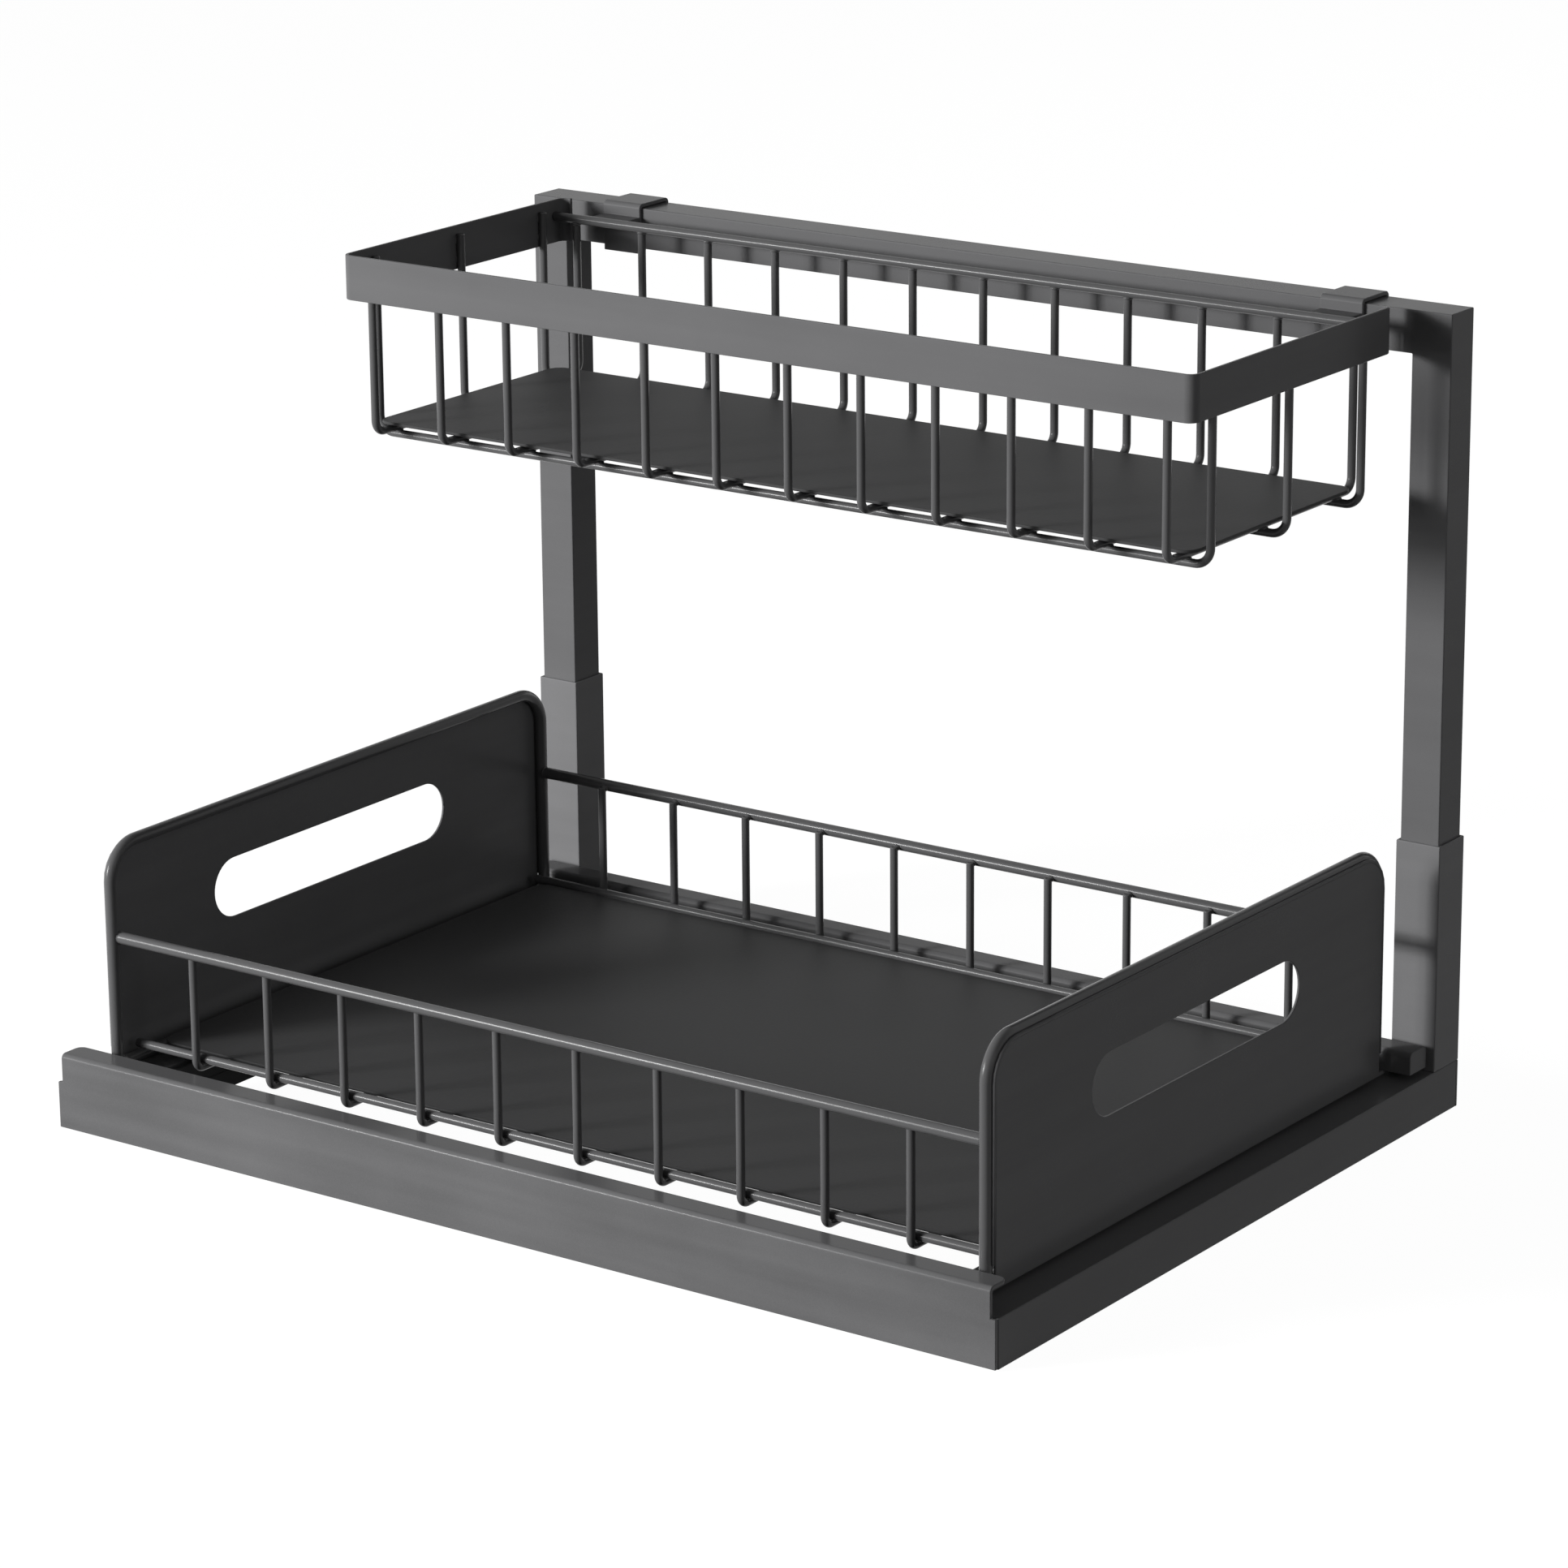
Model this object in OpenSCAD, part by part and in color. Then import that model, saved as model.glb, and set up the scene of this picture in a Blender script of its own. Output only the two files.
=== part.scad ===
// Two-tier pull-out basket for a kitchen cabinet.
// A sheet-metal tray on ball-bearing slides carries a lift-out wire basket, and a
// second, shallower wire basket hangs by two hooks from the beam over the back posts.
// Origin: centre of the footprint, on the floor. The tray opens towards -Y.

/* [Overall] */
// Width over the two base rails
base_w = 400; // [340:1:460]
// Depth from the front plate to the back of the posts
base_d = 300; // [280:1:340]
// Height of the top of the beam
frame_h = 292; // [260:1:340]

/* [Base frame] */
// Side of the square tube of the base rails and the post sleeves
rail_side = 17.6; // [17.6:0.1:22]
// Wall of the base rail tube
rail_wall = 1.2; // [0.8:0.1:2]
// Height of the post sleeves above the rails
sleeve_h = 84; // [60:1:110]
// Wall of the post sleeves
sleeve_wall = 1; // [0.8:0.1:1.6]
// Clearance between a post and its sleeve, on each side
post_gap = 0.1; // [0.05:0.05:0.3]
// Wall of the post and beam tube
post_wall = 1; // [0.8:0.1:2]
// Width of the flat bars that tie the rails together
tie_w = 20; // [12:1:30]
// Thickness of the tie bars
tie_t = 1.6; // [1:0.1:2.5]
// Distance from the rail ends to the tie bars
tie_inset = 6; // [4:1:12]
// Length of a rail plug's shank inside the tube
plug_l = 12; // [8:1:16]
// Thickness of a rail plug's head
plug_head = 1.2; // [0.8:0.1:2]

/* [Slides] */
// Length of each slide member
slide_l = 260; // [240:1:270]
// How far the tray runs out
travel = 240; // [160:1:240]
// Height of a slide
slide_h = 15; // [15:0.1:17]
// Thickness of a slide, from the rail to the tray
slide_t = 9.4; // [9.4:0.1:11]
// Sheet of the slide members
slide_sheet = 0.9; // [0.7:0.1:0.9]
// Diameter of the balls between the outer and the middle member
outer_ball_d = 1.8; // [1.6:0.1:1.8]
// Diameter of the balls between the middle and the inner member
inner_ball_d = 1.6; // [1.4:0.1:1.6]
// Play of a ball in its track, on each side
ball_play = 0.05; // [0.03:0.01:0.08]
// Thickness of the ball cage strip
cage_t = 0.4; // [0.3:0.1:0.5]
// Height of the slides above the tie bars
slide_lift = 0.4; // [0.3:0.1:0.8]
// Radius of the rivet shanks
rivet_r = 1.6; // [1.2:0.1:1.8]

/* [Tray] */
// Sheet of the tray
tray_t = 1.5; // [1:0.1:2]
// Clearance between the rails and the tray parts above them
tray_gap = 0.9; // [0.5:0.1:2]
// Height of the front and back lips above the basket's seat
lip_rise = 8.4; // [6:0.1:14]
// Depth of the flange on top of the front plate
lip_d = 10.4; // [8:0.1:12]
// Depth of the channel along the back of the tray
back_bar_d = 11.4; // [8:0.1:14]
// Gap between the tray and the post sleeves
back_gap = 2.4; // [1:0.1:4]
// How much narrower the tray's lips are than the base, on each side
lip_inset = 2; // [1:0.5:6]
// Gap between the front plate and the floor
floor_gap = 0.4; // [0.2:0.1:1]
// Gap between the front plate and the rail ends
front_gap = 0.3; // [0.2:0.1:1]
// Radius of the back corners of the front flange
lip_corner_r = 3; // [1:0.5:5]
// Outside radius of the bend along the top of the front plate
lip_bend_r = 2; // [1.6:0.1:3]
// Gap between the tray's side flange and the basket panel
flange_gap = 0.8; // [0.5:0.1:2]

/* [Lower basket] */
// Diameter of the hoop and rail rods
rod_d = 4.4; // [3:0.1:5]
// Diameter of the basket wires
wire_d = 3; // [2.4:0.1:3.4]
// Diameter of the two rods along the floor
floor_rod_d = 3.3; // [2.6:0.1:3.6]
// Distance from the outside of the base to the panels
panel_inset = 11.2; // [8:0.1:20]
// Sheet of the side panels
panel_t = 1; // [0.8:0.1:1.5]
// Height of the basket over its hoops
basket_h = 85; // [75:1:110]
// Gap between the front flange and the basket
basket_front_gap = 3.5; // [1:0.1:8]
// Gap between the basket and the back channel
basket_back_gap = 2.5; // [1:0.1:8]
// Gap between the basket and its seat
seat_gap = 0.3; // [0.2:0.05:0.5]
// Corner radius at the top of a hoop
hoop_top_r = 13.5; // [8:0.5:20]
// Corner radius at the bottom of a hoop
hoop_foot_r = 4; // [3:0.5:8]
// Height of the front and back rail rods above the basket's underside
rail_rod_h = 49.5; // [35:0.1:60]
// How far the front rail rod sits inside the hoops
front_rail_inset = 1.6; // [0:0.1:2]
// How far the back rail rod sits inside the hoops
back_rail_inset = 0.6; // [0:0.1:2]
// Height of the wire floor above the basket's underside
floor_h = 5.1; // [4:0.1:12]
// Number of wires across the lower basket
wire_count = 10; // [6:1:12]
// Distance from the hoops to the outermost wires
wire_side = 30.4; // [20:0.1:40]
// Length of the handle slot in a panel
slot_l = 132; // [90:1:160]
// Height of the handle slot
slot_h = 22.2; // [16:0.1:30]
// Height of the slot's centre above the basket's underside
slot_z = 49.8; // [35:0.1:60]

/* [Upper basket] */
// Distance from the outside of the base to the rim
rim_inset = 20; // [18:0.5:40]
// Depth of the rim, front to back
rim_d = 130.5; // [100:0.5:150]
// Height of the rim band
rim_h = 16.4; // [12:0.1:24]
// Sheet of the rim band
rim_t = 1.3; // [1:0.1:2]
// Outside corner radius of the rim
rim_r = 4; // [3:0.5:8]
// Length of the rim's turned-in back ends
rim_return = 5; // [4.5:0.5:8]
// Height of the rim above the beam
rim_proud = 2.2; // [1.8:0.1:6]
// Gap between the rim and the beam
rim_back_gap = 6.9; // [4:0.1:12]
// Height of the upper basket from its rim to its lowest wire
upper_h = 69.3; // [55:0.1:90]
// Diameter of the rod along the back of the rim
back_rod_d = 3.6; // [3:0.1:4]
// Distance of the back rod in front of the rim's back ends
back_rod_inset = 6.5; // [4:0.1:10]
// Distance of the back rod below the top of the rim
back_rod_drop = 6.2; // [4:0.1:9]
// Number of wires from front to back
cross_count = 12; // [8:1:14]
// Distance from the rim's sides to the outermost of them
cross_side = 11.7; // [8:0.1:16]
// Number of wires from side to side
long_count = 3; // [2:1:4]
// Distance from the rim's front to the first of them
long_first = 16.4; // [12:0.1:20]
// Distance from the last of them to the back rod
long_last = 9.2; // [8:0.1:16]
// Bend radius of the wires from front to back
cross_bend_r = 4.5; // [3.5:0.1:8]
// Bend radius of the wires from side to side
long_bend_r = 6; // [5:0.1:10]
// How far the wire ends stay below the top of the rim
wire_end_drop = 3; // [2:0.1:6]

/* [Hooks] */
// Width of a hook
hook_w = 17; // [12:0.5:20]
// Sheet of the hooks
hook_t = 1.4; // [1:0.1:1.6]
// Clearance between a hook's legs and the beam
hook_gap = 0.1; // [0.1:0.05:0.4]
// Clearance between a hook's top and the beam
hook_rise = 0.3; // [0.3:0.05:0.8]
// Inside radius of a hook's two bends
hook_bend_r = 0.5; // [0.2:0.1:0.5]
// How far a hook's front leg reaches below the beam
hook_leg_drop = 1.8; // [0.5:0.1:6]
// Height of a hook's back lip
hook_lip_h = 13; // [8:0.5:15]
// Distance from the rim's side to the middle of a hook
hook_inset = 24; // [23:0.5:26]

/* [Mats] */
// Thickness of the mats
mat_t = 1.2; // [0.8:0.1:2]
// Corner radius of the mats
mat_r = 6; // [2:0.5:12]
// Gap between the lower mat and the front floor rod
lower_mat_front = 5.6; // [0.3:0.1:12]
// Gap between the lower mat and the back floor rod
lower_mat_back = 0.3; // [0.3:0.1:12]
// Gap between the lower mat and the hoops
lower_mat_side = 5.1; // [3:0.1:12]
// Gap between the upper mat and the wires in front of and behind it
upper_mat_end = 6.8; // [5:0.1:12]
// Gap between the upper mat and the wires beside it
upper_mat_side = 3.4; // [3:0.1:12]

/* [Hidden] */
$fn = 48;
cut = 1; // how far a cutting tool runs past a face
sink = 0.1; // how far joined shapes run into each other

metal = [0.30, 0.30, 0.31];
wire_metal = [0.24, 0.24, 0.25];
zinc = [0.70, 0.71, 0.72];
rubber = [0.22, 0.22, 0.23];
plastic = [0.10, 0.10, 0.10];

// Base frame
half_w = base_w / 2;
front_y = -base_d / 2;
back_y = base_d / 2;
rail_y0 = front_y + tray_t + front_gap;
rail_y1 = back_y - plug_head;
rail_in_x = half_w - rail_side;
sleeve_y = back_y - rail_side;
post_inset = sleeve_wall + post_gap;
post_side = rail_side - 2 * post_inset;
post_out_x = half_w - post_inset;
beam_y0 = sleeve_y + post_inset;
beam_y1 = beam_y0 + post_side;
beam_z0 = frame_h - post_side;

// Rail plugs
plug_gap = 0.1;
plug_wall = 2;
plug_bottom = 1;

// Slides, measured from the rail (t) and from the slide's middle (half heights)
slide_set_back = 4; // from the rail ends to the slides
slide_y0 = rail_y0 + slide_set_back;
slide_z = tie_t + slide_lift + slide_h / 2;
outer_in = slide_h / 2 - slide_sheet;
middle_out = outer_in - outer_ball_d - 2 * ball_play;
middle_in = middle_out - slide_sheet;
inner_out = middle_in - inner_ball_d - 2 * ball_play;
outer_cage_z = (outer_in + middle_out) / 2;
inner_cage_z = (middle_in + inner_out) / 2;
cage_gap = 0.4;
middle_t0 = slide_sheet + 2 * cage_gap + cage_t;
inner_cage_t0 = middle_t0 + slide_sheet + cage_gap;
inner_t0 = inner_cage_t0 + cage_t + cage_gap;
inner_web_t = slide_t - slide_sheet;
outer_edge_gap = 0.3; // from the outer member's edges to the inner member's web
middle_edge_gap = 0.9; // from the middle member's edges to the inner member's web
outer_t1 = inner_web_t - outer_edge_gap;
middle_t1 = inner_web_t - middle_edge_gap;
outer_ball_t = (middle_t0 + slide_sheet + middle_t1) / 2;
inner_ball_t = (inner_t0 + middle_t1) / 2;
inner_web_drop = 1.5; // how much lower the inner member is than the outer, above and below
inner_web_half = slide_h / 2 - inner_web_drop;
race_depth = 0.35; // height of the lips beside a ball track
race_lip = 0.3; // width of such a lip at its thinnest
race_play = 0.02; // how much wider the track's hollow is than the balls' path
cage_end = 10; // least distance of a cage from the end of its track
cage_l = slide_l - travel / 2 - 2 * cage_end;
cage_y0 = slide_y0 + cage_end + travel / 4;
ball_count = 6;
ball_pitch = (cage_l - cage_end) / (ball_count - 1);
rivet_end = 14; // from a slide's ends to its outer rivets
rivet_ys = [slide_y0 + rivet_end, slide_y0 + slide_l / 2, slide_y0 + slide_l - rivet_end];
rivet_head_r = rivet_r + 0.8;
rivet_head_h = 0.5;
rivet_tail_h = 1;
rivet_gap = 0.05;
tray_rivet_r = rivet_r / 2;
tray_rivet_head_r = tray_rivet_r + 0.25;
tray_rivet_head_h = 0.4;

// Tray
seat_z = rail_side + tray_gap + tray_t;
lip_z = seat_z + lip_rise;
tray_web_x = rail_in_x - slide_t;
tray_back_y1 = sleeve_y - back_gap;
tray_back_y0 = tray_back_y1 - back_bar_d;
flange_x = half_w - panel_inset - panel_t - flange_gap;
tray_web_z0 = slide_z - inner_web_half;

// Lower basket
rod_r = rod_d / 2;
wire_r = wire_d / 2;
floor_rod_r = floor_rod_d / 2;
panel_x = half_w - panel_inset;
hoop_x = panel_x - panel_t - rod_r;
hoop_y0 = front_y + lip_d + basket_front_gap + rod_r;
hoop_y1 = tray_back_y0 - basket_back_gap - rod_r;
basket_z0 = seat_z + seat_gap;
hoop_z0 = basket_z0 + rod_r;
hoop_z1 = basket_z0 + basket_h - rod_r;
rail_rod_y0 = hoop_y0 + front_rail_inset;
rail_rod_y1 = hoop_y1 - back_rail_inset;
rail_rod_z = basket_z0 + rail_rod_h;
leg_y0 = rail_rod_y0 + rod_r + wire_r;
leg_y1 = rail_rod_y1 - rod_r - wire_r;
floor_z = basket_z0 + floor_h;
floor_rod_gap = 0.1; // between a floor rod and the wire legs beside it
floor_bend_r = wire_r + floor_rod_r + floor_rod_gap;
floor_rod_y0 = leg_y0 + floor_bend_r;
floor_rod_y1 = leg_y1 - floor_bend_r;
floor_rod_z = floor_z + wire_r + floor_rod_r;
slot_flat = 0.02; // straight part of the edge between a slot's two round corners
wire_pitch = 2 * (hoop_x - rod_r - wire_side) / (wire_count - 1);

// Upper basket
rim_x = half_w - rim_inset;
rim_y1 = beam_y0 - rim_back_gap;
rim_y0 = rim_y1 - rim_d;
rim_z1 = frame_h + rim_proud;
rim_z0 = rim_z1 - rim_h;
back_rod_r = back_rod_d / 2;
back_rod_y = rim_y1 - back_rod_inset;
back_rod_z = rim_z1 - back_rod_drop;
long_z = rim_z1 - upper_h + wire_r;
cross_z = long_z + wire_d;
cross_leg_y0 = rim_y0 + rim_t + wire_r;
long_leg_x = rim_x - rim_t - wire_r;
wire_top = rim_z1 - wire_end_drop;
upper_mat_z = cross_z + wire_r;
cross_pitch = 2 * (rim_x - cross_side) / (cross_count - 1);
long_pitch = (back_rod_y - long_last - rim_y0 - long_first) / (long_count - 1);
hook_x = rim_x - hook_inset;

// ---- Shapes used by several parts ----

// A box from its lowest to its highest corner
module block(low, high) {
    translate(low) cube(high - low);
}

// Round bar along X, centred on x = 0
module bar_x(length, r, y, z) {
    translate([-length / 2, y, z]) rotate([0, 90, 0]) cylinder(h = length, r = r);
}

// Flat plate in plan with four round corners, drawn with its lowest corner given
module round_plate(x0, x1, y0, y1, r) {
    translate([x0 + r, y0]) square([x1 - x0 - 2 * r, y1 - y0]);
    translate([x0, y0 + r]) square([x1 - x0, y1 - y0 - 2 * r]);
    for (x = [x0 + r, x1 - r], y = [y0 + r, y1 - r]) translate([x, y]) circle(r = r);
}

// Quarter of a round bend in the YZ plane, turning from the leg along z to the run along y
module bend(bend_r, wire_radius, quarter) {
    rotate([90, 0, 90]) rotate([0, 0, 90 * quarter])
        rotate_extrude(angle = 90) translate([bend_r, 0]) circle(r = wire_radius);
}

// Wire bent to a U in the YZ plane: legs at y0 and y1, floor at z0, leg tops at top0 and top1
module u_wire(y0, y1, z0, top0, top1, bend_r, r) {
    translate([0, y0 + bend_r, z0]) rotate([-90, 0, 0]) cylinder(h = y1 - y0 - 2 * bend_r, r = r);
    translate([0, y0, z0 + bend_r]) cylinder(h = top0 - z0 - bend_r, r = r);
    translate([0, y1, z0 + bend_r]) cylinder(h = top1 - z0 - bend_r, r = r);
    translate([0, y0 + bend_r, z0 + bend_r]) bend(bend_r, r, 2);
    translate([0, y1 - bend_r, z0 + bend_r]) bend(bend_r, r, 3);
}

// Quarter of a sheet bend in a profile, drawn round the bend's centre
module sheet_bend(inner_r, sheet, quarter) {
    rotate(90 * quarter) intersection() {
        difference() {
            circle(r = inner_r + sheet);
            circle(r = inner_r);
        }
        square(inner_r + sheet);
    }
}

// Profile drawn in X (depth) and Y (height), run sideways from x0 to x1
module run_across(x0, x1) {
    translate([x0, 0, 0]) rotate([90, 0, 90]) linear_extrude(x1 - x0) children();
}

// Profile drawn in X (sideways) and Y (height), run along the depth from y0 to y1
module run_back(y0, y1) {
    translate([0, y1, 0]) rotate([90, 0, 0]) linear_extrude(y1 - y0) children();
}

// C section of a slide member: web from t0, flanges to t1, half height half_h
module c_section(t0, t1, half_h, sheet) {
    translate([t0, -half_h]) square([sheet, 2 * half_h]);
    for (z = [-half_h, half_h - sheet]) translate([t0, z]) square([t1 - t0, sheet]);
}

// Lips on both flanges of a slide member, which keep a row of balls on its track
module race(t, flange_z, ball_z, ball_d) {
    r = ball_d / 2 + ball_play;
    lip_z0 = ball_z < flange_z ? flange_z - race_depth : flange_z;
    for (side = [0, 1]) mirror([0, side]) difference() {
        translate([t - r - race_lip, lip_z0]) square([2 * (r + race_lip), race_depth]);
        translate([t, ball_z]) circle(r = r + race_play);
    }
}

// Puts a profile in slide coordinates on the inner face of the left rail
module on_left_rail() {
    translate([-rail_in_x, slide_z]) children();
}

// ---- Base frame ----

module base_rail() {
    color(metal) difference() {
        block([-half_w, rail_y0, 0], [-rail_in_x, rail_y1, rail_side]);
        block([-half_w + rail_wall, rail_y0 - cut, rail_wall],
              [-rail_in_x - rail_wall, rail_y1 + cut, rail_side - rail_wall]);
        for (y = rivet_ys) translate([-rail_in_x - rail_wall - cut, y, slide_z])
            rotate([0, 90, 0]) cylinder(h = rail_wall + 2 * cut, r = rivet_r + rivet_gap);
    }
}

module tie_bar(y0) {
    color(metal) block([-rail_in_x, y0, 0], [rail_in_x, y0 + tie_w, tie_t]);
}

module post_sleeve() {
    color(metal) difference() {
        block([-half_w, sleeve_y, rail_side], [-rail_in_x, back_y, rail_side + sleeve_h]);
        block([-half_w + sleeve_wall, sleeve_y + sleeve_wall, rail_side - cut],
              [-rail_in_x - sleeve_wall, back_y - sleeve_wall, rail_side + sleeve_h + cut]);
    }
}

// Square tube with its top cut at 45 degrees to meet the beam
module post() {
    color(metal) difference() {
        run_back(beam_y0, beam_y1) polygon([
            [-post_out_x, rail_side], [-post_out_x + post_side, rail_side],
            [-post_out_x + post_side, beam_z0], [-post_out_x, frame_h]]);
        block([-post_out_x + post_wall, beam_y0 + post_wall, rail_side - cut],
              [-post_out_x + post_side - post_wall, beam_y1 - post_wall, frame_h + cut]);
    }
}

// Square tube with both ends cut at 45 degrees
module top_beam() {
    color(metal) difference() {
        run_back(beam_y0, beam_y1) polygon([
            [-post_out_x, frame_h], [-post_out_x + post_side, beam_z0],
            [post_out_x - post_side, beam_z0], [post_out_x, frame_h]]);
        block([-half_w, beam_y0 + post_wall, beam_z0 + post_wall],
              [half_w, beam_y1 - post_wall, frame_h - post_wall]);
    }
}

module rail_plugs() {
    shank = rail_side - 2 * (rail_wall + plug_gap);
    hollow = shank - 2 * plug_wall;
    color(plastic) for (side = [-1, 1])
        translate([side * (half_w - rail_side / 2), 0, rail_side / 2]) {
            block([-rail_side / 2, rail_y1, -rail_side / 2], [rail_side / 2, back_y, rail_side / 2]);
            difference() {
                block([-shank / 2, rail_y1 - plug_l, -shank / 2], [shank / 2, rail_y1, shank / 2]);
                block([-hollow / 2, rail_y1 - plug_l - cut, -hollow / 2],
                      [hollow / 2, rail_y1 - plug_bottom, hollow / 2]);
            }
        }
}

// ---- Slides ----

module slide_outer() {
    color(zinc) difference() {
        run_back(slide_y0, slide_y0 + slide_l) on_left_rail() {
            c_section(0, outer_t1, slide_h / 2, slide_sheet);
            race(outer_ball_t, outer_in, outer_cage_z, outer_ball_d);
        }
        for (y = rivet_ys) translate([-rail_in_x, y, slide_z]) rotate([0, 90, 0]) {
            translate([0, 0, -cut]) cylinder(h = slide_sheet + 2 * cut, r = rivet_r + rivet_gap);
            translate([0, 0, slide_sheet - rivet_head_h])
                cylinder(h = rivet_head_h + cut, r = rivet_head_r + rivet_gap);
        }
    }
}

module slide_middle() {
    color(zinc) run_back(slide_y0, slide_y0 + slide_l) on_left_rail() {
        c_section(middle_t0, middle_t1, middle_out, slide_sheet);
        race(outer_ball_t, middle_out, outer_cage_z, outer_ball_d);
        race(inner_ball_t, middle_in, inner_cage_z, inner_ball_d);
    }
}

// Hat section: two ball tracks that face the rail, and a wide web against the tray
module slide_inner() {
    color(zinc) difference() {
        run_back(slide_y0, slide_y0 + slide_l) on_left_rail() {
            translate([inner_web_t, -inner_web_half]) square([slide_sheet, 2 * inner_web_half]);
            for (z = [-inner_out, inner_out - slide_sheet]) translate([inner_t0, z])
                square([inner_web_t - inner_t0 + sink, slide_sheet]);
            race(inner_ball_t, inner_out, inner_cage_z, inner_ball_d);
        }
        for (y = rivet_ys) translate([-rail_in_x + inner_web_t, y, slide_z]) rotate([0, 90, 0])
            translate([0, 0, -cut]) cylinder(h = slide_sheet + 2 * cut, r = tray_rivet_r + rivet_gap);
    }
}

// Strip with a row of balls along its upper and lower edges
module ball_cage(t0, t1, half_h, ball_t, ball_d) {
    color(zinc) {
        run_back(cage_y0, cage_y0 + cage_l) on_left_rail() c_section(t0, t1, half_h + cage_t / 2, cage_t);
        for (i = [0 : ball_count - 1], s = [-1, 1])
            translate([-rail_in_x + ball_t, cage_y0 + cage_end / 2 + i * ball_pitch, slide_z + s * half_h])
                sphere(d = ball_d);
    }
}

module outer_cage() {
    ball_cage(slide_sheet + cage_gap, middle_t1 - cage_gap, outer_cage_z, outer_ball_t, outer_ball_d);
}

module inner_cage() {
    ball_cage(inner_cage_t0, middle_t1 - cage_gap, inner_cage_z, inner_ball_t, inner_ball_d);
}

// Rivets that hold the outer members to the rails, with their heads flush in the web
module rail_rivet() {
    rotate([0, 90, 0]) {
        translate([0, 0, -rail_wall]) cylinder(h = rail_wall + slide_sheet - rivet_head_h, r = rivet_r);
        translate([0, 0, slide_sheet - rivet_head_h]) cylinder(h = rivet_head_h, r = rivet_head_r);
        translate([0, 0, -rail_wall - rivet_tail_h]) cylinder(h = rivet_tail_h, r = rivet_head_r);
    }
}

// Rivets that hold the inner members to the tray's sides
module tray_rivet() {
    rotate([0, 90, 0]) {
        translate([0, 0, -slide_sheet]) cylinder(h = slide_sheet + tray_t, r = tray_rivet_r);
        translate([0, 0, -slide_sheet - tray_rivet_head_h])
            cylinder(h = tray_rivet_head_h, r = tray_rivet_head_r);
        translate([0, 0, tray_t]) cylinder(h = rivet_tail_h, r = rivet_head_r);
    }
}

module rivet_rows(x) {
    color(zinc) for (y = rivet_ys) translate([x, y, slide_z]) children();
}

// ---- Tray ----

// Front plate that covers the rail ends, bent back at the top into a narrower flange
module tray_front() {
    color(metal) {
        block([-half_w, front_y, floor_gap], [half_w, front_y + tray_t, rail_side]);
        run_across(-half_w + lip_inset, half_w - lip_inset) translate([front_y, 0]) {
            translate([0, rail_side - sink]) square([tray_t, lip_z - lip_bend_r - rail_side + sink]);
            translate([lip_bend_r, lip_z - lip_bend_r]) sheet_bend(lip_bend_r - tray_t, tray_t, 1);
        }
        translate([0, 0, lip_z - tray_t]) linear_extrude(tray_t) intersection() {
            round_plate(-half_w + lip_inset, half_w - lip_inset, front_y - lip_d, front_y + lip_d, lip_corner_r);
            translate([-half_w, front_y + lip_bend_r]) square([base_w, lip_d]);
        }
    }
}

// Angle under each side of the basket: a web against the slide and a flange as the seat
module tray_side() {
    bend_x = -tray_web_x + tray_t - lip_bend_r;
    color(metal) difference() {
        run_back(front_y + tray_t, tray_back_y1) {
            translate([-tray_web_x, tray_web_z0]) square([tray_t, seat_z - lip_bend_r - tray_web_z0]);
            translate([-flange_x, seat_z - tray_t]) square([flange_x + bend_x, tray_t]);
            translate([bend_x, seat_z - lip_bend_r]) sheet_bend(lip_bend_r - tray_t, tray_t, 0);
        }
        for (y = rivet_ys) translate([-tray_web_x - cut, y, slide_z])
            rotate([0, 90, 0]) cylinder(h = tray_t + 2 * cut, r = tray_rivet_r + rivet_gap);
    }
}

// Channel, open downwards, that stands on the ends of the two sides; its own ends are folded shut
module tray_back() {
    end_x = half_w - lip_inset;
    half_sheet = tray_t / 2;
    color(metal) {
        run_across(-end_x, end_x) {
            for (y = [tray_back_y0, tray_back_y1 - tray_t])
                translate([y, seat_z]) square([tray_t, lip_rise - lip_bend_r]);
            translate([tray_back_y0 + lip_bend_r, lip_z - tray_t])
                square([back_bar_d - 2 * lip_bend_r, tray_t]);
            translate([tray_back_y0 + lip_bend_r, lip_z - lip_bend_r])
                sheet_bend(lip_bend_r - tray_t, tray_t, 1);
            translate([tray_back_y1 - lip_bend_r, lip_z - lip_bend_r])
                sheet_bend(lip_bend_r - tray_t, tray_t, 0);
        }
        for (x = [-end_x, end_x - tray_t])
            block([x, tray_back_y0 + half_sheet, seat_z],
                  [x + tray_t, tray_back_y1 - half_sheet, lip_z - half_sheet]);
    }
}

// ---- Lower basket ----

// Rod bent into a closed hoop that stands on the tray's seat
module side_hoop() {
    color(wire_metal) translate([-hoop_x, 0, 0]) {
        for (y = [hoop_y0, hoop_y1]) translate([0, y, hoop_z0 + hoop_foot_r])
            cylinder(h = hoop_z1 - hoop_z0 - hoop_foot_r - hoop_top_r, r = rod_r);
        translate([0, hoop_y0 + hoop_top_r, hoop_z1]) rotate([-90, 0, 0])
            cylinder(h = hoop_y1 - hoop_y0 - 2 * hoop_top_r, r = rod_r);
        translate([0, hoop_y0 + hoop_foot_r, hoop_z0]) rotate([-90, 0, 0])
            cylinder(h = hoop_y1 - hoop_y0 - 2 * hoop_foot_r, r = rod_r);
        translate([0, hoop_y1 - hoop_top_r, hoop_z1 - hoop_top_r]) bend(hoop_top_r, rod_r, 0);
        translate([0, hoop_y0 + hoop_top_r, hoop_z1 - hoop_top_r]) bend(hoop_top_r, rod_r, 1);
        translate([0, hoop_y0 + hoop_foot_r, hoop_z0 + hoop_foot_r]) bend(hoop_foot_r, rod_r, 2);
        translate([0, hoop_y1 - hoop_foot_r, hoop_z0 + hoop_foot_r]) bend(hoop_foot_r, rod_r, 3);
    }
}

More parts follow.
